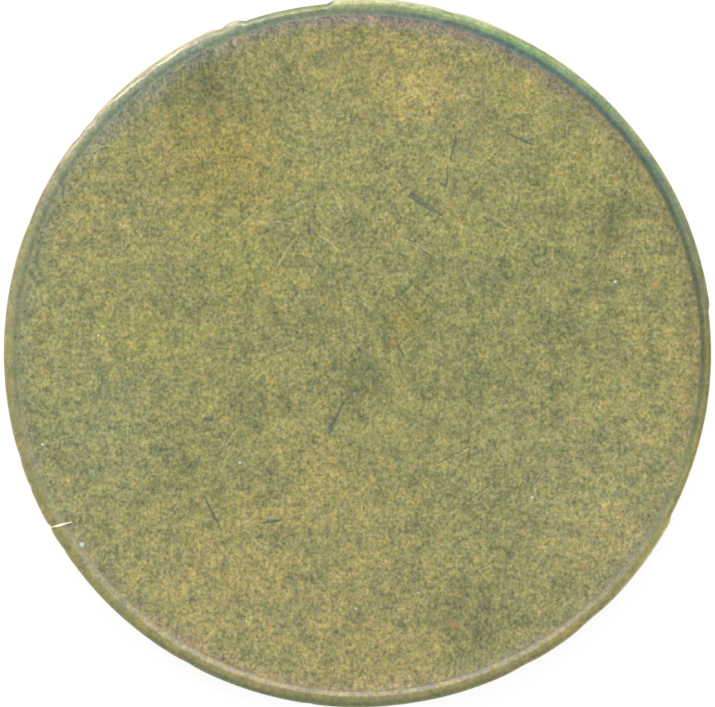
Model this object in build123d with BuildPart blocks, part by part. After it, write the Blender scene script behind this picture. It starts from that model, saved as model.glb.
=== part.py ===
"""Transit token: one struck brass disc with a raised rim on both faces.

The upper face is plain. The lower face carries a generic device in low relief: a circle of beads, a
plain ring and an eight-spoked wheel, with no lettering.

Frame: millimetres, +Z up through the middle of the disc. The origin is the centre of the rim's lower
crest, so the token lies on the plane z = 0 with its plain face up.
"""

import os
from math import radians, tan

from build123d import *

# ---------------------------------------------------------------- driving dimensions, mm
token_diameter = 30.0
token_thickness = 1.8  # over the two rim crests
rim_width = 0.63  # from the outer wall to the foot of the rim
rim_height = 0.12  # crest above the field, the same on both faces
rim_slope_angle = 32.0  # degrees, the inner side of the rim against the field
crest_width = 0.14  # flat land on top of the rim

foot_fillet = 0.15  # hollow where the rim meets the field

relief_height = 0.09  # device above its field, below the rim crest so that it never touches
relief_draft = 25.0  # degrees, so that the device leaves its die
bead_count = 80
bead_diameter = 0.62
ring_diameter = 19.5  # middle of the plain ring
ring_width = 0.32
wheel_diameter = 14.4  # over the felloe
felloe_width = 0.95
spoke_count = 8  # even, because each bar across the wheel makes two spokes
spoke_width = 0.75
hub_diameter = 3.45
hub_dimple_diameter = 1.35

# ---------------------------------------------------------------- worked out from those
token_radius = token_diameter / 2
foot_radius = token_radius - rim_width
crest_inner_radius = foot_radius + rim_height / tan(radians(rim_slope_angle))
crest_outer_radius = crest_inner_radius + crest_width
outer_round = token_radius - crest_outer_radius  # radius of the worn outer corner
upper_field = token_thickness - rim_height
lower_field = rim_height

bead_circle_radius = foot_radius - bead_diameter
ring_radius = ring_diameter / 2
wheel_radius = wheel_diameter / 2
spoke_bar_length = wheel_diameter - felloe_width  # ends buried in the felloe

# A bead is the cap of a ball whose centre is buried in the disc.
bead_ball_radius = ((bead_diameter / 2) ** 2 + relief_height**2) / (2 * relief_height)
bead_ball_depth = bead_ball_radius - relief_height


def rim_side(field_z: float, crest_z: float, wall_z: float):
    """One face's outline, drawn in the open BuildLine from the axis out to the wall."""
    field = Line((0, field_z), (foot_radius, field_z))
    slope = Line(field @ 1, (crest_inner_radius, crest_z))
    crest = Line(slope @ 1, (crest_outer_radius, crest_z))
    RadiusArc(crest @ 1, (token_radius, wall_z), outer_round * (1 if crest_z > field_z else -1))


# ---------------------------------------------------------------- the disc with its two rims
with BuildPart() as token:
    with BuildSketch(Plane.XZ):
        with BuildLine():
            rim_side(upper_field, token_thickness, token_thickness - outer_round)
            Line((token_radius, token_thickness - outer_round), (token_radius, outer_round))
            rim_side(lower_field, 0, outer_round)
            Line((0, lower_field), (0, upper_field))
        make_face()
    revolve(axis=Axis.Z)

    # The hollow at the foot of each rim.
    foot_circles = [
        edge
        for edge in token.edges().filter_by(GeomType.CIRCLE)
        if abs(edge.radius - foot_radius) < foot_fillet
    ]
    fillet(foot_circles, radius=foot_fillet)

    # The ring and the wheel, raised downwards from the lower field.
    struck_plane = Plane.XY.offset(lower_field)
    with BuildSketch(struck_plane):
        Circle(ring_radius + ring_width / 2)
        Circle(ring_radius - ring_width / 2, mode=Mode.SUBTRACT)
        Circle(wheel_radius)
        Circle(wheel_radius - felloe_width, mode=Mode.SUBTRACT)
        with PolarLocations(0, spoke_count // 2, angular_range=180):
            Rectangle(spoke_bar_length, spoke_width)
        Circle(hub_diameter / 2)
        Circle(hub_dimple_diameter / 2, mode=Mode.SUBTRACT)
    extrude(amount=-relief_height, taper=relief_draft)

    # The circle of beads just inside the rim.
    with Locations(Location((0, 0, lower_field + bead_ball_depth))):
        with PolarLocations(bead_circle_radius, bead_count):
            Sphere(bead_ball_radius)

token.part.label = "token"

# ---------------------------------------------------------------- files
os.makedirs("parts", exist_ok=True)
export_step(token.part, "parts/token.step")

brass_density = 8.5e-3  # g per cubic millimetre
print(f"token: {token_diameter:g} mm across, {token_thickness:g} mm thick")
print(f"volume {token.part.volume:.1f} mm3, about {token.part.volume * brass_density:.1f} g of brass")
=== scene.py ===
# %% [markdown]
# # A brass fare token
# A token like this is one piece of brass: a blank is punched out of strip, its edge is rolled up into a
# rim, and one blow between two dies finishes both faces. This lesson builds its visible surface as a
# single closed mesh, and spends the rest of its effort on the finish, because decades of handling are
# what make a plain disc of metal look real. All lengths are in metres, in the same frame as the packed
# model: +Z up through the disc, plain face up, lower rim on the plane z = 0.

import bpy
import numpy as np
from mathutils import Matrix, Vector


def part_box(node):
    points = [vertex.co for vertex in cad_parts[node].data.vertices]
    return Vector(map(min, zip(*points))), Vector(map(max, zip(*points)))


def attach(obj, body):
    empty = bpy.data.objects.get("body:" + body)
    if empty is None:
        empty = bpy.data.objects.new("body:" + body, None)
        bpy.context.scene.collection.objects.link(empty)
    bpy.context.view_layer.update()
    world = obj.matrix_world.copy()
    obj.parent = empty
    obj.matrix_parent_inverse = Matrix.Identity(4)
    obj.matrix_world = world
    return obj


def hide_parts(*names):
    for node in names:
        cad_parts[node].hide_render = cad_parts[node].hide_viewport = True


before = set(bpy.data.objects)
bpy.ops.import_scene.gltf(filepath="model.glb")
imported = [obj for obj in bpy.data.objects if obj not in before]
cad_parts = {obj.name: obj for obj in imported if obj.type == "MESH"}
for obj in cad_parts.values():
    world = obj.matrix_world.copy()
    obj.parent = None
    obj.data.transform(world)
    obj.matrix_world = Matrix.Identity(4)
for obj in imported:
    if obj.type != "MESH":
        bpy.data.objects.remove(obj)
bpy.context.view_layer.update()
low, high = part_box("token")
MM = 1e-3
radius = (high.x - low.x) / 2 / MM
thickness = (high.z - low.z) / MM
print(f"token: {2 * radius:.2f} mm across, {thickness:.2f} mm thick")

# %% [markdown]
# ## The rim's outline
# Both faces have the same rim. Going outwards it is a hollow where the rim rises from the field, a
# sloping side, a narrow worn crest and a well rounded outer corner, and then the plain edge. The
# outline is written in millimetres as a few arcs. The straight stretches need no points of their own,
# because they simply join the end of one arc to the start of the next.

# %% Dimensions of the rim, mm
RIM_WIDTH = 0.63  # from the edge to the foot of the rim
RIM_HEIGHT = 0.12  # from the field to the crest
SLOPE = np.radians(32.0)
CREST_WIDTH = 0.14
FOOT_HOLLOW = 0.20  # radius of the hollow at the foot
CREST_ROUND = 0.20  # radius of the worn inner corner of the crest

foot = radius - RIM_WIDTH
crest_start = foot + RIM_HEIGHT / np.tan(SLOPE)
crest_end = crest_start + CREST_WIDTH
corner_round = radius - crest_end
print(f"rim: foot at {foot:.2f} mm, crest from {crest_start:.2f} to {crest_end:.2f} mm")


# %% The outline as arcs
def arc(centre_r, centre_z, arc_radius, start, stop, points):
    """Points on a circle: the centre plus the radius times (cosine, sine) of evenly spaced angles."""
    angle = np.radians(np.linspace(start, stop, points))
    return np.column_stack(
        [centre_r + arc_radius * np.cos(angle), centre_z + arc_radius * np.sin(angle)]
    )


def upper_outline():
    """(radius, height) of the upper rim from the field outwards.

    A fillet between two lines that meet at the slope angle touches each of them at its radius times the
    tangent of half that angle from their corner.
    """
    half_turn = np.tan(SLOPE / 2)
    slope_degrees = np.degrees(SLOPE)
    field = thickness - RIM_HEIGHT
    hollow = arc(
        foot - FOOT_HOLLOW * half_turn, field + FOOT_HOLLOW, FOOT_HOLLOW, -90, slope_degrees - 90, 5
    )
    crest = arc(
        crest_start + CREST_ROUND * half_turn,
        thickness - CREST_ROUND,
        CREST_ROUND,
        90 + slope_degrees,
        90,
        5,
    )
    corner = arc(crest_end, thickness - corner_round, corner_round, 90, 0, 9)
    return np.vstack([hollow, crest, corner])


upper = upper_outline()
lower = upper[::-1] * (1, -1) + (0, thickness)
edge_heights = np.linspace(upper[-1, 1], lower[0, 1], 6)[1:-1]
edge = np.column_stack([np.full(len(edge_heights), radius), edge_heights])
outline = np.vstack([upper, edge, lower])
print(f"rim outline: {len(outline)} points, field edge at radius {outline[0, 0]:.2f} mm")

# %% [markdown]
# ## A disc without a pole
# A disc drawn as rings and spokes crowds its triangles at the centre. Shirley and Chiu's map bends a
# square grid into a disc instead: squares stay nearly square, and the outermost row lands on the
# circle at even angles, ready to be sewn to the rim.


# %% A square grid bent into a disc
def disc_grid(cells):
    """Unit-disc points (x, y) on a (cells + 1) squared grid.

    The larger of the two square coordinates is the radius, and the other one over it, times 45
    degrees, is the angle from that coordinate's axis.
    """
    steps = np.linspace(-1, 1, cells + 1)
    u, v = np.meshgrid(steps, steps, indexing="ij")
    wide = np.abs(u) > np.abs(v)
    reach = np.where(wide, u, v)
    ratio = np.divide(np.where(wide, v, u), reach, out=np.zeros_like(u), where=reach != 0)
    turn = np.where(wide, np.pi / 4 * ratio, np.pi / 2 - np.pi / 4 * ratio)
    return reach * np.cos(turn), reach * np.sin(turn)


FACE_CELLS = 186
COLUMNS = 4 * FACE_CELLS
column_angle = np.radians(-135) + 2 * np.pi * np.arange(COLUMNS) / COLUMNS
unit_x, unit_y = disc_grid(FACE_CELLS)
print(f"face grid: {FACE_CELLS} cells a side, {COLUMNS} columns round the rim")

# %% [markdown]
# ## Wear in the metal itself
# Nothing that has been through a fare box is quite flat. The fields swell and sink by a few
# thousandths of a millimetre, the crest is rubbed lower in places, and knocks have bruised the edge.
# Slow unevenness is a sum of sine waves in random directions, and each knock is a bell curve.


# %% Slow unevenness and the bell curve
def swell(x, y, size, seed, waves=14):
    """A smooth random height of unit spread: the sum of sine waves about one size apart."""
    draw = np.random.default_rng(seed)
    heading = draw.uniform(0, 2 * np.pi, waves)
    pitch = 2 * np.pi / (size * draw.uniform(0.7, 1.4, waves))
    phase = draw.uniform(0, 2 * np.pi, waves)
    along = x[..., None] * np.cos(heading) + y[..., None] * np.sin(heading)
    return np.sin(along * pitch + phase).sum(-1) * np.sqrt(2 / waves)


def bell(distance, width):
    """The exponential of minus the square of the distance over the width: one at no distance."""
    return np.exp(-((distance / width) ** 2))


# %% Wear of the edge
# Knocks: angle in degrees from +X, half width and depth in mm.
EDGE_KNOCKS = (
    (62, 1.20, 0.03),
    (75, 0.40, 0.05),
    (113, 0.20, 0.10),
    (139, 0.25, 0.06),
    (142, 0.40, 0.06),
    (158, 0.50, 0.03),
    (-163, 0.25, 0.04),
    (-157.8, 0.15, 0.04),
    (-146.3, 0.20, 0.03),
    (-119, 0.35, 0.03),
    (-98, 0.20, 0.02),
    (-62, 0.60, 0.04),
    (-49, 0.60, 0.05),
)
# Stretches where the edge is rubbed flat: first and last angle, and depth in mm.
EDGE_FLATS = ((-28.0, 7.3, 0.11), (94.5, 109.5, 0.14))
FLAT_END = 0.3  # how far a flat takes to run out
EDGE_CUT = (-150.5, 0.13, 0.10)  # a nick right across the upper rim, given as a knock
# Slow waves, as mean and spread in mm: how far the edge is worn in and the crests are rubbed down.
EDGE_WAVES = (0.008, 0.004)
CREST_WAVES = (0.004, 0.003)


def turn_from(angle, degrees):
    """The angle from a direction, between minus and plus half a turn."""
    return (angle - np.radians(degrees) + np.pi) % (2 * np.pi) - np.pi


def edge_wear(angle):
    """How far the edge is pushed in at an angle, mm: its slow waves, knocks and flats, by arc length."""
    mean, spread = EDGE_WAVES
    depth = mean + spread * swell(np.cos(angle), np.sin(angle), 0.35, seed=3)
    for place, width, deep in EDGE_KNOCKS:
        depth = depth + deep * bell(turn_from(angle, place) * radius, width)
    for first, last, deep in EDGE_FLATS:
        middle, half_length = (first + last) / 2, np.radians(last - first) / 2 * radius
        past_end = np.abs(turn_from(angle, middle)) * radius - half_length
        depth = depth + deep * np.clip(0.5 - past_end / FLAT_END, 0, 1)
    return np.maximum(depth, 0)


def rim_cut(angle):
    """One in the nick across the rim and nothing away from it."""
    place, width, _ = EDGE_CUT
    return bell(turn_from(angle, place) * radius, width)


print(f"edge: pushed in by up to {edge_wear(column_angle).max():.2f} mm")

# %% The die's place
# The die sat a little off the middle of the blank and wasn't quite round, so the rim is wider at +Y
# and -Y than at the sides, and narrowest at +X.
DIE_SHIFT = 0.03
DIE_STRETCH = 0.06


def die_offset(angle):
    """How far the plain face's foot lies outside its mean circle: one wave and two waves a turn."""
    return DIE_SHIFT * np.cos(angle) + DIE_STRETCH * np.cos(2 * angle)


# %% The plain face's field
# Shallow dents: x, y, half width and depth in mm.
FACE_DENTS = (
    (2.6, 6.3, 0.35, 0.012),
    (-1.1, -3.1, 0.30, 0.014),
    (-6.2, -6.8, 0.40, 0.010),
    (5.9, 5.4, 0.45, 0.008),
    (3.9, -4.4, 0.40, 0.008),
    (-4.8, 5.6, 0.50, 0.007),
    (6.9, 9.0, 0.50, 0.009),
    (-8.9, 2.1, 0.60, 0.006),
    (8.8, -7.2, 0.45, 0.008),
    (0.9, 10.9, 0.55, 0.006),
)
# Its two swells: size and height in mm, and seed.
FACE_SWELLS = ((7.0, 0.003, 11), (2.2, 0.0015, 12))
CALM_WIDTH = 0.4  # over which both die away beside the rim


def plain_field(x, y):
    """Height of the plain face's field: its level, plus its swells, less its dents."""
    level = thickness - RIM_HEIGHT
    height = level
    for size, high, seed in FACE_SWELLS:
        height = height + high * swell(x, y, size, seed)
    for place_x, place_y, width, deep in FACE_DENTS:
        height = height - deep * bell(np.hypot(x - place_x, y - place_y), width)
    calm = np.clip((outline[0, 0] - np.hypot(x, y)) / CALM_WIDTH, 0, 1)
    return level + (height - level) * calm


# %% [markdown]
# ## The struck face
# The face underneath carries a plain device, so that the token has two different sides without any
# lettering: a circle of beads, a ring, and an eight-spoked wheel. Each shape is a rounded ridge whose
# height depends only on how far a point is from its middle line, and the highest ridge wins.

# %% Dimensions of the device, mm
RELIEF = 0.09
BEADS = 80
BEAD_CIRCLE = foot - 0.62
BEAD_RADIUS = 0.31
RING = (9.75, 0.16)  # middle radius and half width
FELLOE = (6.725, 0.475)
SPOKES = 8
SPOKE_HALF_WIDTH = 0.375
HUB_RADIUS = 1.725
HUB_DIMPLE = 0.675
RIDGE_SIDE = 0.16  # how far a worn ridge takes to fall to the field
print(f"device: {BEADS} beads, a ring and {SPOKES} spokes, {RELIEF} mm high")


# %% Ridges, beads and the wheel
def ridge(distance, half_width):
    """One on a ridge, falling to nothing beside it along a smooth S: three squares less two cubes."""
    fall = np.clip((half_width + RIDGE_SIDE / 2 - distance) / RIDGE_SIDE, 0, 1)
    return fall * fall * (3 - 2 * fall)


def struck_device(x, y):
    """Height of the device above its field, from nothing to one."""
    reach, angle = np.hypot(x, y), np.arctan2(y, x)
    bead_pitch, spoke_pitch = 2 * np.pi / BEADS, 2 * np.pi / SPOKES
    from_bead = (angle + bead_pitch / 2) % bead_pitch - bead_pitch / 2
    bead_distance = np.hypot(reach - BEAD_CIRCLE, from_bead * BEAD_CIRCLE)
    beads = np.sqrt(np.clip(1 - (bead_distance / BEAD_RADIUS) ** 2, 0, 1))
    from_spoke = (angle + spoke_pitch / 2) % spoke_pitch - spoke_pitch / 2
    spokes = ridge(np.abs(reach * np.sin(from_spoke)), SPOKE_HALF_WIDTH) * (reach < FELLOE[0])
    rings = [ridge(np.abs(reach - middle), half) for middle, half in (RING, FELLOE)]
    wheel = np.maximum.reduce([spokes, *rings, ridge(reach, HUB_RADIUS)])
    return np.maximum(wheel * (1 - ridge(reach, HUB_DIMPLE)), beads)


# %% [markdown]
# ## One closed mesh
# The plain field, the rim's outline carried round its columns, and the struck field are joined into
# one skin. The corners of the fields are shared with the first and last rows of the rim, so no seam is
# left open. The edge wear pushes points inwards only, and most at the outer corner, so the token
# never grows past its gauge.


# %% Points of the three surfaces
def border(grid):
    """The square grid's outermost row, counter-clockwise from its lower left corner."""
    return np.concatenate([grid[:-1, 0], grid[-1, :-1], grid[:0:-1, -1], grid[0, :0:-1]])


def rim_points():
    """The outline carried round, less its wear: rows of the outline by columns of angle, as (x, y, z)."""
    r, z = outline[:, :1], outline[:, 1:]
    outward = np.clip((r - crest_start) / corner_round, 0, 1)
    upper_side = np.clip((z - thickness / 2) / (thickness / 2), 0, 1)
    angle = column_angle[None, :]
    worn = edge_wear(angle) * outward
    nick = rim_cut(angle) * EDGE_CUT[2] * upper_side
    rise = np.clip((np.abs(z - thickness / 2) - thickness / 2 + RIM_HEIGHT) / RIM_HEIGHT, 0, 1)
    mean, spread = CREST_WAVES
    rubbed = rise * (mean + spread * swell(np.cos(angle), np.sin(angle), 0.5, seed=5)).clip(0)
    pulled = r - worn - nick * outward
    height = z - np.sign(z - thickness / 2) * rubbed - nick * rise
    return np.stack([pulled * np.cos(angle), pulled * np.sin(angle), height + 0 * angle], -1)


field_radius = outline[0, 0]
face_x, face_y = unit_x * field_radius, unit_y * field_radius
upper_face = np.stack([face_x, face_y, plain_field(face_x, face_y)], -1)
struck_depth = RELIEF * struck_device(face_x, face_y)
lower_face = np.stack([face_x, face_y, RIM_HEIGHT - struck_depth], -1)
rim = rim_points()[1:-1]
points = np.concatenate([upper_face.reshape(-1, 3), lower_face.reshape(-1, 3), rim.reshape(-1, 3)])

# %% Move the foot off centre
# The shift grows inside the foot of the upper rim and dies away again over the outer corner.
SHIFT_START, SHIFT_GROWTH = foot - 1.0, 0.8
distance_out = np.hypot(points[:, 0], points[:, 1])
is_upper = points[:, 2] > thickness / 2
near_foot = np.clip((distance_out - SHIFT_START) / SHIFT_GROWTH, 0, 1)
near_foot *= np.clip((radius - distance_out) / corner_round, 0, 1)
shift = die_offset(np.arctan2(points[:, 1], points[:, 0])) * near_foot * is_upper
points[:, :2] *= 1 + (shift / np.maximum(distance_out, foot / 2))[:, None]
print(f"foot moved by {shift.min():+.3f} to {shift.max():+.3f} mm")

# %% Faces that join them
face_index = np.arange((FACE_CELLS + 1) ** 2).reshape(FACE_CELLS + 1, FACE_CELLS + 1)
lower_index = face_index + face_index.size
rim_index = 2 * face_index.size + np.arange(rim.shape[0] * COLUMNS).reshape(-1, COLUMNS)
rows = np.vstack([border(face_index), rim_index, border(lower_index)])


def quads(index):
    """Four corners of every cell of a grid of point numbers, in turn round the cell."""
    return np.stack(
        [index[:-1, :-1], index[1:, :-1], index[1:, 1:], index[:-1, 1:]], -1
    ).reshape(-1, 4)


upper_quads = quads(face_index)
lower_quads = quads(lower_index)[:, ::-1]
rim_quads = quads(np.column_stack([rows, rows[:, 0]]))
faces = np.concatenate([upper_quads, rim_quads, lower_quads])

mesh = bpy.data.meshes.new("token_disc")
mesh.from_pydata(points * MM, [], faces.tolist())
mesh.shade_smooth()
mesh.validate()
token = bpy.data.objects.new("token_disc", mesh)
bpy.context.scene.collection.objects.link(token)
print(f"token_disc: {len(points)} points, {2 * len(faces)} triangles")

# %% [markdown]
# ## Words for wiring
# A finish is a wiring diagram, and the same few moves come back all the time. This bench gives them
# short names. A socket handed in as a value is wired, and a plain number is set on the input.


# %% The wiring bench
class Bench:
    """A node tree with short words for adding nodes."""

    def __init__(self, tree):
        self.tree = tree
        self.noises = 0

    def add(self, kind, inputs=(), **settings):
        made = self.tree.nodes.new(kind)
        for name, value in settings.items():
            setattr(made, name, value)
        for name, value in dict(inputs).items():
            if isinstance(value, bpy.types.NodeSocket):
                self.tree.links.new(value, made.inputs[name])
            else:
                made.inputs[name].default_value = value
        return made

    def math(self, operation, *values):
        made = self.add("ShaderNodeMath", dict(enumerate(values)), operation=operation)
        return made.outputs[0]

    def vector(self, operation, *values, output="Vector", **inputs):
        numbered = {**dict(enumerate(values)), **inputs}
        made = self.add("ShaderNodeVectorMath", numbered, operation=operation)
        return made.outputs[output]

    def between(self, value, start, stop, low=0.0, high=1.0):
        """A smooth step from low to high as value goes from start to stop."""
        named = {"Value": value, "From Min": start, "From Max": stop, "To Min": low, "To Max": high}
        made = self.add("ShaderNodeMapRange", named, interpolation_type="SMOOTHSTEP")
        return made.outputs["Result"]

    def noise(self, position, size, detail=0.0, roughness=0.5, output="Fac"):
        """Blender's noise with patches about one size across.

        Each noise looks at its own place. Two that shared an origin and were nearly the same size
        would echo each other, and the echo shows as streaks that run out from the middle.
        """
        self.noises += 1
        moved = self.vector("ADD", position, tuple(step * self.noises for step in (37.7, 23.3, 11.9)))
        named = {"Vector": moved, "Scale": 1 / size, "Detail": detail, "Roughness": roughness}
        return self.add("ShaderNodeTexNoise", named).outputs[output]

    def swing(self, position, reach, *shape):
        """Noise of a size, detail and roughness, between plus and minus half of how far it reaches."""
        return self.math("MULTIPLY_ADD", self.noise(position, *shape), reach, -reach / 2)

    def mix(self, factor, first, second, blend_type="MIX"):
        made = self.add("ShaderNodeMix", {0: factor, 6: first, 7: second}, data_type="RGBA")
        made.blend_type = blend_type
        return made.outputs[2]

    def ramp(self, value, stops):
        made = self.add("ShaderNodeValToRGB", {"Fac": value})
        spare = made.color_ramp.elements
        while len(spare) < len(stops):
            spare.new(0.5)
        for element, (place, colour) in zip(spare, stops):
            element.position, element.color = place, (*colour, 1)
        return made.outputs["Color"]

    def use(self, group, **inputs):
        """One of the shared groups, with its inputs by name."""
        return self.add("ShaderNodeGroup", inputs, node_tree=group)

    def mask(self, group, position, **inputs):
        """The mask that a shared group gives at a position."""
        return self.use(group, Position=position, **inputs).outputs["Mask"]


def start_group(name, inputs, outputs):
    """A node group with named sockets: the group, its bench, its given inputs, and a way to hand out."""
    group = bpy.data.node_groups.new(name, "ShaderNodeTree")
    for label, kind, value in inputs:
        socket = group.interface.new_socket(label, in_out="INPUT", socket_type=f"NodeSocket{kind}")
        socket.default_value = value
    for label, kind in outputs:
        group.interface.new_socket(label, in_out="OUTPUT", socket_type=f"NodeSocket{kind}")
    bench = Bench(group)
    given = bench.add("NodeGroupInput").outputs
    handed_out = bench.add("NodeGroupOutput")

    def hand_out(label, socket):
        group.links.new(socket, handed_out.inputs[label])

    return group, bench, given, hand_out


# %% [markdown]
# ## Patina
# Handled brass isn't one colour. Oxide grows in green-grey specks a few tenths of a millimetre
# across, thumbs polish the high spots back to gold, and slow clouds of tone drift across the whole
# disc. The group adds the clouds and the patches into one tone, and hands out the finest grain apart,
# because it also roughens the metal. A coloured noise gives two more drifts: between greenish and
# reddish brass, and between yellow and bluish.

# %% The patina group
CLOUD_SIZE, PATCH_SIZE, GRAIN_SIZE, DRIFT_SIZE = 8.0, 0.6, 0.17, 0.12  # mm
CLOUD_SHARE, PATCH_SHARE = 0.15, 1.4  # how far each of the two moves the tone
SPECK_STRETCH = (1.1, 0.94, 1.0)  # the specks are a little longer along Y than along X
patina, bench, given, hand_out = start_group(
    "patina",
    [("Position", "Vector", (0, 0, 0)), ("Grain", "Float", 1.0), ("Clouds", "Float", 1.0)],
    [("Tone", "Float"), ("Relief", "Float"), ("Hue", "Float"), ("Blueness", "Float")],
)
stretched = bench.vector("MULTIPLY", given["Position"], SPECK_STRETCH)
clouds = bench.math("SUBTRACT", bench.noise(given["Position"], CLOUD_SIZE, 1.0, 0.6), 0.5)
patches = bench.math("SUBTRACT", bench.noise(stretched, PATCH_SIZE, 2.0, 1.0), 0.5)
grain = bench.math("SUBTRACT", bench.noise(stretched, GRAIN_SIZE, 1.0, 1.0), 0.5)
tone = bench.math(
    "ADD",
    bench.math("MULTIPLY", bench.math("MULTIPLY", patches, PATCH_SHARE), given["Grain"]),
    bench.math("MULTIPLY", bench.math("MULTIPLY", clouds, CLOUD_SHARE), given["Clouds"]),
)
hand_out("Tone", bench.math("ADD", tone, 0.5))
hand_out("Relief", bench.math("MULTIPLY", grain, given["Grain"]))
drift = bench.noise(stretched, DRIFT_SIZE, 1.0, 0.9, "Color")
drift = bench.add("ShaderNodeSeparateColor", {0: drift})
hand_out("Hue", drift.outputs[0])
hand_out("Blueness", drift.outputs[1])
print(f"patina: {len(patina.nodes)} nodes")

# %% [markdown]
# ## Hairlines
# Rubbing against other tokens leaves fine, slightly curved scratches in every direction. Voronoi cells
# scatter one scratch each: the cell's random colour turns it, bends it, and decides if it is there at
# all. The group gives a mask that is one in the middle of a scratch.


# %% Scattering by cells
def scatter(bench, given):
    """Random cells in the plane: the point in cell sizes, the cell it falls in, and its three chances."""
    moved = bench.vector("ADD", given["Position"], given["Shift"])
    flat = bench.vector("MULTIPLY", bench.vector("DIVIDE", moved, given["Cell"]), (1, 1, 0))
    cell = bench.add("ShaderNodeTexVoronoi", {"Vector": flat, "Scale": 1.0}, voronoi_dimensions="2D")
    chance = bench.add("ShaderNodeSeparateColor", {0: cell.outputs["Color"]}).outputs
    return flat, cell, chance


# %% The hairlines group
hairlines, bench, given, hand_out = start_group(
    "hairlines",
    [
        ("Position", "Vector", (0, 0, 0)),
        ("Shift", "Vector", (0, 0, 0)),
        ("Cell", "Float", 2.0),
        ("Width", "Float", 0.05),
        ("Share", "Float", 0.5),
    ],
    [("Mask", "Float")],
)
flat, cell, chance = scatter(bench, given)
turn = bench.math("MULTIPLY", chance[0], 2 * np.pi)
away = bench.vector("SUBTRACT", flat, cell.outputs["Position"])
cosine, sine = bench.math("COSINE", turn), bench.math("SINE", turn)
heading = bench.add("ShaderNodeCombineXYZ", {0: cosine, 1: sine}).outputs[0]
sideways = bench.add("ShaderNodeCombineXYZ", {0: bench.math("MULTIPLY", sine, -1.0), 1: cosine}).outputs[0]
along = bench.vector("DOT_PRODUCT", away, heading, output="Value")
straight = bench.vector("DOT_PRODUCT", away, sideways, output="Value")
squared = bench.math("MULTIPLY", along, along)
bend = bench.math("MULTIPLY", squared, bench.math("SUBTRACT", chance[1], 0.5))
across = bench.math("ABSOLUTE", bench.math("ADD", straight, bend))
across = bench.math("MULTIPLY", across, given["Cell"])
line = bench.between(bench.math("DIVIDE", across, given["Width"]), 1.0, 0.0)
# A scratch reaches between 0.15 and 0.45 of a cell size each way, and fades out near its ends.
reach = bench.math("MULTIPLY_ADD", chance[1], 0.3, 0.15)
ends = bench.between(bench.math("DIVIDE", bench.math("ABSOLUTE", along), reach), 1.0, 0.6)
there = bench.math("LESS_THAN", chance[2], given["Share"])
hand_out("Mask", bench.math("MULTIPLY", bench.math("MULTIPLY", line, ends), there))
print(f"hairlines: {len(hairlines.nodes)} nodes")

# %% [markdown]
# ## Specks
# Corrosion pits are small round blots, thinly scattered. The same cells serve again: a blot is
# wherever a point is near enough to its cell's middle, in the few cells that chance picks, and its
# size is between 0.4 and 1.2 of the size that is asked for.

# %% The specks group
specks, bench, given, hand_out = start_group(
    "specks",
    [
        ("Position", "Vector", (0, 0, 0)),
        ("Shift", "Vector", (0, 0, 0)),
        ("Cell", "Float", 1.0),
        ("Size", "Float", 0.1),
        ("Share", "Float", 0.2),
    ],
    [("Mask", "Float")],
)
_, cell, chance = scatter(bench, given)
distance = bench.math("MULTIPLY", cell.outputs["Distance"], given["Cell"])
size = bench.math("MULTIPLY", given["Size"], bench.math("MULTIPLY_ADD", chance[1], 0.8, 0.4))
blot = bench.between(bench.math("DIVIDE", distance, size), 1.0, 0.3)
picked = bench.math("LESS_THAN", chance[0], given["Share"])
hand_out("Mask", bench.math("MULTIPLY", blot, picked))
print(f"specks: {len(specks.nodes)} nodes")

# %% [markdown]
# ## Single marks
# A few scratches are deep enough to be remembered one by one. Each is a straight stroke: the group
# finds the nearest point of the stroke, and the mask falls off with the distance from it. The stroke
# is widest at its middle, and it is read at a place that noise has shaken a little, so that it wavers
# as a real gouge does. A spot is simpler still: its mask falls off with the distance from its middle.

# %% The stroke group
stroke, bench, given, hand_out = start_group(
    "stroke",
    [
        ("Position", "Vector", (0, 0, 0)),
        ("Start", "Vector", (0, 0, 0)),
        ("Span", "Vector", (1, 0, 0)),
        ("Width", "Float", 0.08),
    ],
    [("Mask", "Float")],
)
from_start = bench.vector("SUBTRACT", given["Position"], given["Start"])
length_squared = bench.vector("DOT_PRODUCT", given["Span"], given["Span"], output="Value")
share = bench.math(
    "DIVIDE",
    bench.vector("DOT_PRODUCT", from_start, given["Span"], output="Value"),
    length_squared,
)
share = bench.add("ShaderNodeClamp", {"Value": share}).outputs[0]
nearest = bench.vector("SCALE", given["Span"], Scale=share)
distance = bench.vector("DISTANCE", from_start, nearest, output="Value")
# The product of the two shares is a quarter at the middle, where the width is whole, and 0 at the ends.
middle = bench.math("MULTIPLY", share, bench.math("SUBTRACT", 1.0, share))
width = bench.math("MULTIPLY", given["Width"], bench.math("MULTIPLY_ADD", middle, 2.4, 0.4))
hand_out("Mask", bench.between(bench.math("DIVIDE", distance, width), 1.0, 0.0))
print(f"stroke: {len(stroke.nodes)} nodes")

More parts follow.
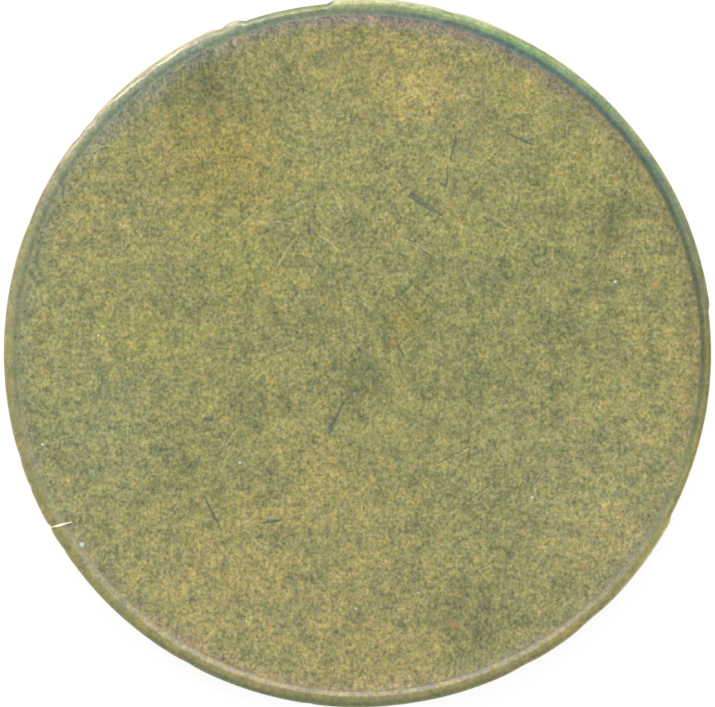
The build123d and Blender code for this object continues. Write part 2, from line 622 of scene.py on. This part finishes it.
# %% Marks by kind: start, end and width in mm on the plain face
DARK_STROKES = (
    ((2.1, 6.6), (3.5, 5.8), 0.16),
    ((2.2, 6.7), (2.7, 6.4), 0.22),
    ((-1.2, -3.2), (-0.6, -2.1), 0.12),
    ((-1.2, -3.2), (-1.1, -3.0), 0.26),
    ((-6.5, -6.1), (-5.8, -7.5), 0.11),
    ((4.1, 9.1), (3.9, 8.1), 0.09),
    ((3.8, 7.9), (3.7, 6.9), 0.10),
    ((6.3, 9.2), (7.4, 8.8), 0.12),
    ((1.6, 0.5), (1.9, -0.3), 0.08),
    ((-1.2, -3.4), (-1.1, -3.0), 0.22),
    ((-6.5, -2.8), (-6.2, -2.9), 0.20),
    ((-3.9, -4.9), (-3.7, -5.2), 0.16),
    ((-4.1, -7.2), (-3.3, -7.1), 0.14),
    ((-2.1, -7.4), (-2.0, -7.7), 0.16),
    ((-4.3, -7.9), (-4.0, -7.7), 0.14),
)
FAINT_STROKES = (
    ((-6.6, 0.1), (-2.4, 0.4), 0.13),
    ((-0.4, 3.5), (2.4, 3.5), 0.13),
    ((3.0, 3.0), (7.0, 3.2), 0.16),
    ((-8.9, -1.6), (-6.4, -1.2), 0.14),
    ((0.2, -4.1), (1.5, -6.0), 0.14),
    ((-3.2, 9.3), (-1.4, 8.2), 0.12),
    ((8.2, -3.0), (10.1, -1.6), 0.13),
)
GROOVES = (
    ((2.0, 4.9), (3.2, 3.9), 0.10),
    ((5.3, 5.7), (6.3, 5.2), 0.11),
    ((-3.6, 3.6), (-2.8, 4.8), 0.10),
    ((-0.2, 0.9), (0.3, 0.0), 0.08),
    ((3.2, -4.8), (4.7, -4.0), 0.08),
    ((4.5, -6.4), (5.6, -5.6), 0.09),
    ((7.3, -5.7), (7.9, -5.0), 0.08),
    ((4.9, -9.3), (5.8, -8.8), 0.07),
    ((7.9, -6.5), (8.4, -6.0), 0.08),
    ((-2.9, 6.2), (-2.4, 6.4), 0.09),
    ((-3.5, 5.6), (-2.8, 5.5), 0.10),
)
# Bright scratches. The four that run along grooves are painted highlights on each groove's lit flank.
LIGHT_STROKES = (
    ((-5.3, -7.4), (-4.4, -6.9), 0.09),
    ((-5.2, 5.2), (-4.2, 6.0), 0.09),
    ((-1.2, 7.0), (-0.6, 5.9), 0.08),
    ((-1.7, 5.1), (-0.8, 4.3), 0.08),
    ((-13.0, 2.1), (-12.8, 1.7), 0.07),
    ((-5.7, -4.6), (-5.2, -4.0), 0.08),
    ((-5.6, -3.9), (-5.0, -3.0), 0.09),
    ((-3.45, 3.6), (-2.7, 4.8), 0.10),
    ((2.3, 4.7), (3.1, 4.2), 0.08),
    ((5.4, 5.9), (6.4, 5.3), 0.09),
    ((-7.8, 11.9), (-7.4, 12.2), 0.12),
    ((-10.9, 8.7), (-10.4, 8.8), 0.07),
    ((-10.2, -5.3), (-9.5, -5.5), 0.08),
    ((-12.1, -4.2), (-11.7, -4.7), 0.07),
    ((-9.9, -7.7), (-9.7, -8.0), 0.06),
    ((-10.8, -7.6), (-10.6, -8.0), 0.06),
    ((-0.1, 0.9), (0.3, 0.0), 0.07),
)
# Painted highlights: lines along the rim's outer corner on its upper left, where it faces the lamp.
PAINTED_RIM_HIGHLIGHTS = (
    ((-12.6, 8.0), (-10.7, 10.3), 0.09),
    ((-10.9, 10.2), (-8.8, 11.8), 0.09),
    ((-8.6, 12.0), (-7.2, 13.0), 0.07),
)


def strokes_group(name, strokes):
    """A group whose mask is the strongest of a list of strokes."""
    group, bench, given, hand_out = start_group(
        name, [("Position", "Vector", (0, 0, 0))], [("Mask", "Float")]
    )
    strongest = None
    for start, end, width in strokes:
        span = (end[0] - start[0], end[1] - start[1], 0)
        mask = bench.mask(stroke, given["Position"], Start=(*start, 0), Span=span, Width=width)
        strongest = mask if strongest is None else bench.math("MAXIMUM", strongest, mask)
    hand_out("Mask", strongest)
    return group


# %% Spots by kind: middle and radius in mm
# Glints are painted highlights: pale spots where the metal would catch the light.
GLINTS = (
    ((-11.67, -8.10), 0.16),
    ((-5.00, -4.64), 0.08),
    ((-13.94, -3.89), 0.07),
    ((-13.35, -3.87), 0.08),
    ((-4.72, -11.34), 0.06),
    ((-0.10, -10.80), 0.07),
    ((7.34, -6.10), 0.08),
    ((2.52, -10.12), 0.06),
    ((10.85, 3.00), 0.09),
    ((-10.98, 0.74), 0.07),
)
COPPER_SPOTS = (
    ((4.03, -11.44), 0.28),
    ((1.45, 0.46), 0.25),
    ((-5.83, 10.16), 0.22),
    ((-6.61, 9.87), 0.25),
    ((12.6, 2.9), 0.30),
    ((9.6, -9.1), 0.25),
)
GREEN_SPOTS = (((13.65, -4.64), 0.20), ((13.55, -4.35), 0.10), ((-14.05, -3.95), 0.14))


def spots_group(name, spots):
    """A group whose mask is one in the middle of each spot and fades to nothing at its radius."""
    group, bench, given, hand_out = start_group(
        name, [("Position", "Vector", (0, 0, 0))], [("Mask", "Float")]
    )
    strongest = None
    for place, size in spots:
        off = bench.vector("DISTANCE", given["Position"], (*place, 0), output="Value")
        mask = bench.between(off, size, size / 4)
        strongest = mask if strongest is None else bench.math("MAXIMUM", strongest, mask)
    hand_out("Mask", strongest)
    return group


def pushed(bench, flat, push, size, detail, roughness):
    """The position plus coloured noise, less its mean, times how far it pushes, in the plane."""
    away = bench.noise(flat, size, detail, roughness, "Color")
    away = bench.vector("SUBTRACT", away, (0.5, 0.5, 0.5))
    return bench.vector("MULTIPLY_ADD", away, (push, push, 0.0), flat)


def shaken(bench, flat):
    """The position on the face, moved a little by noise so that straight strokes waver."""
    return pushed(bench, flat, 0.2, size=0.5, detail=1.0, roughness=0.6)


# %% A group for each kind of mark
dark_strokes = strokes_group("dark_strokes", DARK_STROKES)
faint_strokes = strokes_group("faint_strokes", FAINT_STROKES)
grooves = strokes_group("grooves", GROOVES)
light_strokes = strokes_group("light_strokes", LIGHT_STROKES)
rim_gleams = strokes_group("rim_gleams", PAINTED_RIM_HIGHLIGHTS)
glints = spots_group("glints", GLINTS)
copper_spots = spots_group("copper_spots", COPPER_SPOTS)
green_spots = spots_group("green_spots", GREEN_SPOTS)

# The nick runs inwards from the edge, and a line just below it is painted dark as the shade of its burr.
NICK_SPAN, NICK_WIDTH = (0.95, 0.24), 0.065
SHADE_SHIFT, SHADE_WIDTH = (0.02, -0.08), 0.08
cut_angle = np.radians(EDGE_CUT[0])
nick_start = np.array([radius * np.cos(cut_angle), radius * np.sin(cut_angle)])
nick_line = np.array([nick_start, nick_start + NICK_SPAN])
rim_nick = strokes_group("rim_nick", ((*nick_line.tolist(), NICK_WIDTH),))
nick_shade = strokes_group("nick_shade", ((*(nick_line + SHADE_SHIFT).tolist(), SHADE_WIDTH),))
strokes = (DARK_STROKES, FAINT_STROKES, GROOVES, LIGHT_STROKES, PAINTED_RIM_HIGHLIGHTS)
spots = (GLINTS, COPPER_SPOTS, GREEN_SPOTS)
print(f"marks: {sum(map(len, strokes))} strokes, {sum(map(len, spots))} spots and the nick")

# %% [markdown]
# ## The three finishes
# The plain face, the rim and the struck face are the same brass with different histories, so each
# has its own material around the shared groups. All of them are mostly metal: brass under a thin skin
# of oxide. The oxide is duller and rougher than the metal, so on the plain face and the rim one tone
# drives both the colour and the roughness.

# %% Colours of aged brass, linear
TARNISH = (0.100, 0.124, 0.073)
OLIVE = (0.262, 0.254, 0.108)
GOLD = (0.45, 0.384, 0.138)
# Bright scratches, and the painted highlight on the lit flank of grooves.
RUBBED_AND_LIT = (0.47, 0.43, 0.20)
# Dark scratches and grime, and the painted shade in grooves and beside the nick.
GRIME_AND_SHADE = (0.075, 0.105, 0.095)
# Bare metal in the nick, and the painted highlight on the rim's corner where it faces the lamp.
BARE_METAL_AND_HIGHLIGHT = (0.90, 0.82, 0.56)
COPPER = (0.42, 0.24, 0.10)
VERDIGRIS = (0.14, 0.36, 0.12)
# The painted highlight of the glints.
PAINTED_GLINT = (0.62, 0.75, 0.66)
METALLIC = 0.8
# What the patina's tone and its two drifts pick: a place on the noise, and a colour or tint there.
TONE_STOPS = ((0.0, TARNISH), (0.5, OLIVE), (1.0, GOLD))
HUE_STOPS = ((0.3, (0.89, 1.04, 1.0)), (0.7, (1.11, 0.96, 1.0)))
BLUENESS_STOPS = ((0.3, (1.02, 1.0, 0.55)), (0.7, (0.98, 1.0, 1.45)))
GRAIN_SHADE = 1.4  # how far the finest grain shades the colour


# %% What every finish begins with
def start_finish(name):
    """A material with its bench, its Principled shader and its position in millimetres."""
    material = bpy.data.materials.new(name)
    material.use_nodes = True
    bench = Bench(material.node_tree)
    shader = material.node_tree.nodes["Principled BSDF"]
    place = bench.add("ShaderNodeTexCoord").outputs["Object"]
    position = bench.vector("SCALE", place, Scale=1 / MM)
    return material, bench, shader, position


def brass_colour(bench, position, grain=1.0, clouds=1.0):
    """The patina's colour, tone and relief: the tone picks the colour, and drifts and grain tint it."""
    made = bench.use(patina, Position=position, Grain=grain, Clouds=clouds)
    tone = made.outputs["Tone"]
    colour = bench.ramp(tone, TONE_STOPS)
    hue = bench.ramp(made.outputs["Hue"], HUE_STOPS)
    blue = bench.ramp(made.outputs["Blueness"], BLUENESS_STOPS)
    shade = bench.math("MULTIPLY_ADD", made.outputs["Relief"], GRAIN_SHADE, 1.0)
    shade = bench.add("ShaderNodeCombineColor", {0: shade, 1: shade, 2: shade}).outputs[0]
    for tint in (hue, blue, shade):
        colour = bench.mix(1.0, colour, tint, "MULTIPLY")
    return colour, tone, made.outputs["Relief"]


def lay_over(bench, colour, *marks):
    """The colour with marks over it in turn, each a mask, how strongly it covers, and its stain."""
    for mask, strength, stain in marks:
        colour = bench.mix(bench.math("MULTIPLY", mask, strength), colour, (*stain, 1))
    return colour


def finish_shader(bench, shader, colour, roughness, height):
    """Wires a finish into its shader, with heights in millimetres through one bump."""
    links = bench.tree.links
    bump = bench.add("ShaderNodeBump", {"Height": height, "Distance": MM, "Strength": 1.0})
    links.new(colour, shader.inputs["Base Color"])
    links.new(roughness, shader.inputs["Roughness"])
    links.new(bump.outputs["Normal"], shader.inputs["Normal"])
    shader.inputs["Metallic"].default_value = METALLIC


# %% [markdown]
# ### Stains, painted light and painted shade round the rim
# Tarnish creeps in from the edge, and it isn't the same all the way round: this token has verdigris on
# its upper right, a dry grey-green skin on its upper left and rubbed, rosy metal at the bottom. The
# lists carry painted light and shade too: the hollow's lower side, whose slope faces the lamp, is
# lightened as rubbed metal and a painted highlight; the outer corner is lightened on its upper left
# in part as a painted highlight and darkened at the bottom as painted shade; and the outer part of the
# plain face is lighter towards the bottom and darker towards the top. Each list goes round
# anticlockwise from +X and gives the stain at a few angles. Going outwards the lists are the outer part
# of the plain face, the band that rubbing never reaches, the hollow at the foot of the rim, its crest
# and its outer corner.

# %% Stains, as how much of the brass's red, green and blue each one leaves
DIRT = (0.50, 0.60, 0.75)
UMBER = (0.85, 0.80, 0.70)
SLATE = (0.50, 0.65, 1.05)
TEAL = (0.55, 0.88, 1.95)
MOSS = (0.70, 1.12, 1.25)
LICHEN = (0.96, 1.08, 1.30)
SAGE = (0.98, 1.14, 2.00)
FERN = (1.03, 1.27, 2.05)
DULL = (1.00, 1.06, 1.35)
CHALK = (1.15, 1.15, 1.60)
ROSE = (0.85, 0.78, 1.20)
PINK = (1.05, 0.97, 1.45)
PLAIN = (1.08, 1.00, 1.05)
WARM = (1.50, 1.35, 1.30)
# Painted shade, for the outer corner at the bottom, which turns away from the lamp.
PAINTED_SHADE = (0.75, 0.88, 1.02)
WALL = (0.95, 0.94, 0.98)

# %% Stains, painted light and painted shade by side: angle in degrees, and stain
# The outer part of the plain face is lighter towards the bottom and darker towards the top.
OUTER_SIDES = (
    (0, (1.06, 1.03, 1.03)),
    (30, (1.01, 1.01, 0.98)),
    (60, (0.98, 0.96, 1.00)),
    (90, (0.95, 0.91, 0.91)),
    (120, (0.92, 0.92, 0.94)),
    (150, (0.97, 0.96, 1.00)),
    (180, (1.03, 1.05, 1.07)),
    (210, (1.08, 1.07, 1.12)),
    (240, (1.13, 1.10, 1.16)),
    (270, (1.11, 1.05, 1.08)),
    (300, (1.10, 1.07, 1.11)),
    (330, (1.09, 1.09, 1.17)),
)
BAND_SIDES = (
    (0, (0.98, 0.93, 0.97)),
    (35, (0.84, 0.81, 0.90)),
    (65, (0.88, 0.82, 1.27)),
    (90, (0.93, 0.85, 1.74)),
    (120, (0.94, 0.98, 1.64)),
    (150, (0.92, 0.99, 1.29)),
    (180, (0.91, 0.94, 1.13)),
    (210, (0.94, 0.94, 1.12)),
    (240, (1.10, 0.98, 1.22)),
    (270, (1.22, 1.12, 1.32)),
    (300, (0.93, 0.94, 1.18)),
)
HOLLOW_SIDES = (
    (0, DIRT),
    (28, SLATE),
    (60, TEAL),
    (92, FERN),
    (130, FERN),
    (170, DULL),
    # At 213 and 245 the slope faces the lamp, and the lighter tints there are rubbed metal and a painted
    # highlight.
    (213, CHALK),
    (245, PINK),
    (275, (0.80, 0.72, 1.15)),
    (315, ROSE),
    (340, (0.75, 0.86, 1.02)),
)
CREST_SIDES = (
    (0, UMBER),
    (30, (0.60, 0.82, 1.35)),
    (60, MOSS),
    (92, LICHEN),
    (122, SAGE),
    (165, DULL),
    (210, PLAIN),
    (245, PLAIN),
    (272, (0.92, 0.88, 1.05)),
    (300, PLAIN),
    (330, (1.18, 1.10, 1.07)),
)
CORNER_SIDES = (
    (0, UMBER),
    (30, (1.36, 1.40, 1.56)),
    (60, (0.87, 1.05, 1.23)),
    (90, LICHEN),
    # From 120 to 150 the corner faces the lamp, and its lighter tints are in part a painted highlight.
    (120, (1.16, 1.05, 1.70)),
    (150, (1.40, 1.18, 1.60)),
    (180, WARM),
    (210, WARM),
    (240, (0.88, 0.98, 1.10)),
    # At 270 the corner turns away from the lamp and is darkened as painted shade.
    (270, PAINTED_SHADE),
    (300, PLAIN),
    (332, (2.00, 1.84, 1.92)),
)


def round_the_rim(bench, facing, sides):
    """A tint that changes with the side of the token, from a list of degrees and tints that starts at 0.

    The angle's share of a full turn picks from a ramp that ends with the tint it starts with.
    """
    parts = bench.add("ShaderNodeSeparateXYZ", {0: facing}).outputs
    angle = bench.math("ARCTAN2", parts["Y"], parts["X"])
    turn = bench.math("FRACT", bench.math("ADD", bench.math("DIVIDE", angle, 2 * np.pi), 1.0))
    stops = [(degrees / 360, tint) for degrees, tint in sides]
    return bench.ramp(turn, (*stops, (1.0, sides[0][1])))


# %% [markdown]
# ### The plain face
# The patina comes first, then blotches left by years of damp thumbs and coins, which a noise pushes out
# of round. Just inside the rim there is a band that rubbing never reaches, with a tarnish of its own.
# Hairlines, pits and the single marks are laid over the lot.

# %% Tints of the blotches, as how much of the brass's red, green and blue each one leaves
SOOT = (0.70, 0.75, 0.82)
DUSK = (0.84, 0.88, 0.92)
BRIGHT = (1.28, 1.19, 1.09)
STRAW = (1.14, 1.13, 0.96)
BLUSH = (1.18, 1.11, 1.06)
AMBER = (1.02, 0.94, 0.77)
LIME = (1.00, 1.02, 0.86)
COOL = (0.96, 1.01, 1.10)

# %% Blotches: middle and size in mm, and tint
BLOTCHES = (
    ((-0.5, -9.0), 6.5, (1.16, 1.10, 1.12)),
    ((-6.0, -9.5), 4.5, BLUSH),
    ((4.0, 2.5), 8.5, (0.96, 0.99, 0.97)),
    ((-5.8, 8.4), 4.6, AMBER),
    ((-4.8, 3.6), 3.0, LIME),
    ((-10.5, -3.0), 4.5, COOL),
    ((7.5, -5.0), 5.5, (1.04, 1.05, 1.12)),
    ((2.6, 11.4), 2.6, BRIGHT),
    ((6.6, 11.0), 1.8, STRAW),
    ((9.0, 7.6), 2.2, STRAW),
    ((-9.0, 0.7), 1.8, STRAW),
    ((-1.8, -4.7), 3.2, BLUSH),
    ((2.1, 1.6), 1.4, AMBER),
    ((-6.7, 11.4), 2.3, SOOT),
    ((4.6, -11.2), 2.4, SOOT),
    ((10.2, -7.8), 3.2, BLUSH),
    ((11.3, 5.9), 1.7, SOOT),
    ((-3.0, 5.5), 1.2, DUSK),
    ((-7.6, 2.5), 1.6, DUSK),
    ((0.3, -1.2), 1.9, SOOT),
    ((-4.6, -2.5), 1.5, DUSK),
    ((-7.7, -5.1), 1.4, DUSK),
    ((-12.1, -4.5), 1.0, DUSK),
    ((9.3, 1.0), 0.8, DUSK),
    ((6.0, 3.4), 1.2, DUSK),
    ((10.5, -3.6), 1.1, DUSK),
    ((7.4, -7.5), 1.1, DUSK),
    ((4.1, 8.8), 1.0, DUSK),
    ((4.7, -1.2), 1.0, DUSK),
)

# %% The plain face's patina, blotches and band
OUTER_PART = (8.5, 13.0)  # radii between which the outer part's tint comes in
BAND_PART = (foot - 0.9, foot - 0.1)  # the same for the band
BAND_WANDER = 0.7  # how far the band's border wanders, mm
plain_finish, bench, shader, position = start_finish("plain_face_brass")
colour, tone, relief = brass_colour(bench, position)
flat = bench.vector("MULTIPLY", position, (1, 1, 0))
reach = bench.vector("LENGTH", flat, output="Value")
facing = bench.vector("NORMALIZE", flat)

uneven = pushed(bench, flat, 2.4, size=1.6, detail=2.0, roughness=0.6)
for place, size, tint in BLOTCHES:
    off = bench.vector("DISTANCE", uneven, (*place, 0), output="Value")
    colour = bench.mix(bench.between(off, size, 0.0), colour, (*tint, 1), "MULTIPLY")
outer = bench.between(reach, *OUTER_PART)
colour = bench.mix(outer, colour, round_the_rim(bench, facing, OUTER_SIDES), "MULTIPLY")
wander = bench.swing(position, BAND_WANDER, 2.5, 1.0)
band = bench.between(bench.math("ADD", reach, wander), *BAND_PART)
colour = bench.mix(band, colour, round_the_rim(bench, facing, BAND_SIDES), "MULTIPLY")

# %% Hairlines and pits of the plain face
wavering = shaken(bench, flat)
hair = bench.mask(hairlines, wavering, Cell=1.1, Width=0.06, Share=0.5)
long_hair = bench.mask(hairlines, wavering, Shift=(31, 17, 0), Cell=2.7, Width=0.06, Share=0.4)
scuffs = bench.math("MAXIMUM", hair, long_hair)
bright_hair = bench.mask(hairlines, wavering, Shift=(13, 47, 0), Cell=1.5, Width=0.06, Share=0.5)
pit = bench.mask(specks, flat, Shift=(7, 3, 0), Cell=0.55, Size=0.10, Share=0.22)

# %% Single marks of the plain face
dark = bench.mask(dark_strokes, wavering)
faint = bench.mask(faint_strokes, wavering)
light = bench.mask(light_strokes, wavering)
groove = bench.mask(grooves, wavering)
copper = bench.mask(copper_spots, wavering)
green = bench.mask(green_spots, wavering)
glint = bench.mask(glints, flat)
nick = bench.mask(rim_nick, flat)
shade = bench.mask(nick_shade, flat)
colour = lay_over(
    bench,
    colour,
    (scuffs, 0.30, TARNISH),
    (bright_hair, 0.28, GOLD),
    (pit, 0.55, TARNISH),
    (copper, 0.45, COPPER),
    (green, 0.70, VERDIGRIS),
    # The nick's painted shade.
    (shade, 0.50, GRIME_AND_SHADE),
    (dark, 0.70, GRIME_AND_SHADE),
    (faint, 0.22, GRIME_AND_SHADE),
    # Grime and painted shade in the grooves.
    (groove, 0.30, GRIME_AND_SHADE),
    # Bright scratches, and painted highlights on the grooves' lit flanks.
    (light, 0.50, RUBBED_AND_LIT),
    # Painted highlights.
    (glint, 0.80, PAINTED_GLINT),
    (nick, 1.00, BARE_METAL_AND_HIGHLIGHT),
)

# %% Roughness and relief of the plain face
GRAIN_RELIEF = 0.014  # mm
roughness = bench.between(tone, 0.0, 1.0, low=0.62, high=0.46)
texture = bench.math("MULTIPLY", relief, GRAIN_RELIEF)
# Each kind of mark goes down by its own depth, in mm.
for mask, depth in ((scuffs, 0.004), (pit, 0.006), (dark, 0.014), (groove, 0.016), (light, 0.006)):
    texture = bench.math("MULTIPLY_ADD", mask, -depth, texture)
finish_shader(bench, shader, colour, roughness, texture)

# %% [markdown]
# ### The rim
# Going outwards, dirt packs into the hollow, the crest is rubbed and the outer corner has its own
# stains, painted light and shade among them, and each of the three takes them from its list. The bands
# follow the foot, which is off centre, so its offset is taken from the radius first, and noise makes
# their borders ragged. On the edge's wall all stains fade into one. The outermost part of the corner
# that faces the top, towards the lamp, gets a painted highlight, and so do lines along its upper left.

# %% Where the rim's bands lie
WALL_TOP, CORNER_FOOT = thickness - 0.45, thickness - 0.22  # heights between which stains come in
RAGGED_REACH = 0.16  # how far the bands' borders wander, mm
rim_finish, bench, shader, position = start_finish("rim_brass")
colour, tone, relief = brass_colour(bench, position, grain=0.55, clouds=0.6)
flat = bench.vector("MULTIPLY", position, (1, 1, 0))
reach = bench.vector("LENGTH", flat, output="Value")
facing = bench.vector("NORMALIZE", flat)
height = bench.add("ShaderNodeSeparateXYZ", {0: position}).outputs["Z"]
from_middle = bench.math("ABSOLUTE", bench.math("SUBTRACT", height, thickness / 2))
off_wall = bench.between(from_middle, WALL_TOP - thickness / 2, CORNER_FOOT - thickness / 2)
on_top = bench.between(height, WALL_TOP, CORNER_FOOT)

# The die's offset again, where the cosine of twice an angle is twice its squared cosine less one.
cosine = bench.add("ShaderNodeSeparateXYZ", {0: facing}).outputs["X"]
two_waves = bench.math("MULTIPLY_ADD", bench.math("MULTIPLY", cosine, cosine), 2.0, -1.0)
offset = bench.math("MULTIPLY_ADD", two_waves, DIE_STRETCH, bench.math("MULTIPLY", cosine, DIE_SHIFT))
ragged = bench.swing(position, RAGGED_REACH, 0.9, 2.0, 0.7)
ragged_reach = bench.math("ADD", bench.math("SUBTRACT", reach, offset), ragged)
in_hollow = bench.between(ragged_reach, field_radius - 0.02, foot + 0.02)
in_crest = bench.between(ragged_reach, foot + 0.12, crest_start + 0.06)
in_corner = bench.between(ragged_reach, crest_end, radius - 0.10)

# %% The rim's stains
outer_side, band_side, hollow_side, crest_side, corner_side = (
    round_the_rim(bench, facing, sides)
    for sides in (OUTER_SIDES, BAND_SIDES, HOLLOW_SIDES, CREST_SIDES, CORNER_SIDES)
)
stain = bench.mix(1.0, outer_side, band_side, "MULTIPLY")  # as the plain face ends
stain = bench.mix(in_hollow, stain, hollow_side)
stain = bench.mix(in_crest, stain, crest_side)
stain = bench.mix(in_corner, stain, corner_side)
stain = bench.mix(off_wall, (*WALL, 1), stain)
colour = bench.mix(1.0, colour, stain, "MULTIPLY")

# %% Painted highlights, the nick's bare metal and its painted shade, which stop above the wall
TOWARD_TOP = (-0.1, 1.0, 0.0)
# Painted highlights along the corner on the upper left.
rim_highlight = bench.mask(rim_gleams, shaken(bench, flat))
# A painted highlight on the outermost part of the corner, on the side that faces the lamp.
toward_top = bench.vector("DOT_PRODUCT", facing, TOWARD_TOP, output="Value")
lit_fringe = bench.math(
    "MULTIPLY",
    bench.between(ragged_reach, radius - 0.14, radius - 0.02),
    bench.between(toward_top, 0.15, 0.65),
)
# A line beside the nick, painted dark as its shade.
shade = bench.mask(nick_shade, flat)
nick = bench.mask(rim_nick, flat)
top_marks = ((rim_highlight, 0.4, BARE_METAL_AND_HIGHLIGHT), (lit_fringe, 0.5, BARE_METAL_AND_HIGHLIGHT), (shade, 0.5, GRIME_AND_SHADE), (nick, 1.0, BARE_METAL_AND_HIGHLIGHT))
for mask, strength, mark in top_marks:
    colour = lay_over(bench, colour, (bench.math("MULTIPLY", mask, on_top), strength, mark))

# %% Roughness and relief of the rim
# Scuffs run up and down the wall, because the noise is read slowly along Z.
upright = bench.vector("MULTIPLY", position, (1, 1, 0.12))
scuffed = bench.between(bench.noise(upright, 0.22, 2.0, 0.6), 0.42, 0.62)
roughness = bench.between(tone, 0.0, 1.0, low=0.55, high=0.38)
texture = bench.math("MULTIPLY_ADD", scuffed, 0.002, bench.math("MULTIPLY", relief, 0.004))
finish_shader(bench, shader, colour, roughness, texture)

# %% [markdown]
# ### The struck face
# The device stands above its field, so it is rubbed to gold while the field beneath it keeps its
# tarnish. Height tells the two apart.

# %% The struck face
struck_finish, bench, shader, position = start_finish("struck_face_brass")
colour, tone, relief = brass_colour(bench, position)
height = bench.add("ShaderNodeSeparateXYZ", {0: position}).outputs["Z"]
raised = bench.between(height, RIM_HEIGHT - 0.03, RIM_HEIGHT - RELIEF)
sheltered = bench.between(height, RIM_HEIGHT - 0.06, RIM_HEIGHT)
hair = bench.mask(hairlines, position, Cell=1.8, Width=0.05, Share=0.5)
pit = bench.mask(specks, position, Cell=0.7, Size=0.11, Share=0.2)
colour = lay_over(bench, colour, (sheltered, 0.35, TARNISH), (raised, 0.45, GOLD), (pit, 0.50, TARNISH))
roughness = bench.between(raised, 0.0, 1.0, low=0.58, high=0.40)
texture = bench.math("MULTIPLY_ADD", hair, -0.004, bench.math("MULTIPLY", relief, 0.008))
finish_shader(bench, shader, colour, roughness, texture)

# %% Give each surface its finish
for finish in (plain_finish, rim_finish, struck_finish):
    mesh.materials.append(finish)
slots = np.repeat([0, 1, 2], [len(upper_quads), len(rim_quads), len(lower_quads)])
mesh.polygons.foreach_set("material_index", slots.astype(np.int32))
mesh.update()
print(f"finishes: {[material.name for material in mesh.materials]}")

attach(token, "root")
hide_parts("token")

# %% [markdown]
# ## Floor, light and camera
# The token lies on a matt white table, lit from within like a light box, which leaves hardly any
# shadow. Most of the other light is a wide soft sky that is brightest overhead, and one large soft
# lamp stands low behind the token's top edge, which is what draws the rim: its inner side is bright
# where it faces the lamp and dark where it turns away.

# %% The table
FLOOR_HALF = 1.2  # m
FLOOR_GREY, FLOOR_GLOW = 0.25, 0.8
floor_mesh = bpy.data.meshes.new("table")
floor_mesh.from_pydata(
    [(x * FLOOR_HALF, y * FLOOR_HALF, 0) for x, y in ((-1, -1), (1, -1), (1, 1), (-1, 1))],
    [],
    [(0, 1, 2, 3)],
)
floor = bpy.data.objects.new("table", floor_mesh)
bpy.context.scene.collection.objects.link(floor)
floor_finish = bpy.data.materials.new("matt_white")
floor_finish.use_nodes = True
floor_shader = floor_finish.node_tree.nodes["Principled BSDF"]
floor_shader.inputs["Base Color"].default_value = (FLOOR_GREY, FLOOR_GREY, FLOOR_GREY, 1)
floor_shader.inputs["Emission Color"].default_value = (1, 1, 1, 1)
floor_shader.inputs["Emission Strength"].default_value = FLOOR_GLOW
floor_shader.inputs["Roughness"].default_value = 0.9
floor_shader.inputs["Specular IOR Level"].default_value = 0.0
floor_mesh.materials.append(floor_finish)
print(f"table: {2 * FLOOR_HALF:g} m square")

# %% The sky
SKY_MIDDLE = (0.0, 0.55, 0.835)  # the direction that is brightest
SKY_SHADES = ((0.2, (0.46, 0.47, 0.49)), (0.55, (0.72, 0.73, 0.74)), (0.92, (1.16, 1.15, 1.13)))
BACKDROP = (0.88, 0.88, 0.88)  # what the camera itself sees behind the table
world = bpy.data.worlds.new("soft_sky")
bpy.context.scene.world = world
world.use_nodes = True
sky = Bench(world.node_tree)
looking = sky.add("ShaderNodeTexCoord").outputs["Generated"]
toward = sky.vector("DOT_PRODUCT", looking, SKY_MIDDLE, output="Value")
shade = sky.ramp(sky.math("MULTIPLY_ADD", toward, 0.5, 0.5), SKY_SHADES)
light_path = sky.add("ShaderNodeLightPath").outputs["Is Camera Ray"]
seen = sky.mix(light_path, shade, (*BACKDROP, 1))
background = world.node_tree.nodes["Background"]
world.node_tree.links.new(seen, background.inputs["Color"])
background.inputs["Strength"].default_value = 1.0

# %% The lamp
LAMP_AZIMUTH = np.radians(100)
LAMP_HEIGHT = np.radians(38)
LAMP_DISTANCE = 0.5  # m
LAMP_POWER = 1.7  # W
lamp_data = bpy.data.lights.new("long_lamp", "AREA")
lamp_data.shape = "RECTANGLE"
lamp_data.size, lamp_data.size_y = 0.55, 0.35
lamp_data.energy = LAMP_POWER
lamp = bpy.data.objects.new("long_lamp", lamp_data)
bpy.context.scene.collection.objects.link(lamp)
lamp.location = (
    LAMP_DISTANCE * np.cos(LAMP_HEIGHT) * np.cos(LAMP_AZIMUTH),
    LAMP_DISTANCE * np.cos(LAMP_HEIGHT) * np.sin(LAMP_AZIMUTH),
    LAMP_DISTANCE * np.sin(LAMP_HEIGHT),
)
lamp.rotation_mode = "QUATERNION"
lamp.rotation_quaternion = lamp.location.to_track_quat("Z", "Y")
print(f"lamp: {LAMP_DISTANCE} m away, {np.degrees(LAMP_HEIGHT):.0f} degrees up")

# %% The camera
LENS = 120.0
VIEW_WIDTH = 30.24 * MM  # the width seen at the top of the edge
OFF_MIDDLE = (-0.034 * MM, -0.030 * MM)  # how far the camera stands off the token's middle
camera_data = bpy.data.cameras.new("overhead")
camera_data.lens = LENS
camera_data.clip_start, camera_data.clip_end = 0.001, 10.0
camera = bpy.data.objects.new("overhead", camera_data)
bpy.context.scene.collection.objects.link(camera)
distance = VIEW_WIDTH * LENS / camera_data.sensor_width
camera.location = (*OFF_MIDDLE, (thickness - corner_round) * MM + distance)
bpy.context.scene.camera = camera
bpy.context.scene.view_settings.view_transform = "Standard"
print(f"camera: {distance * 1000:.1f} mm above the token")
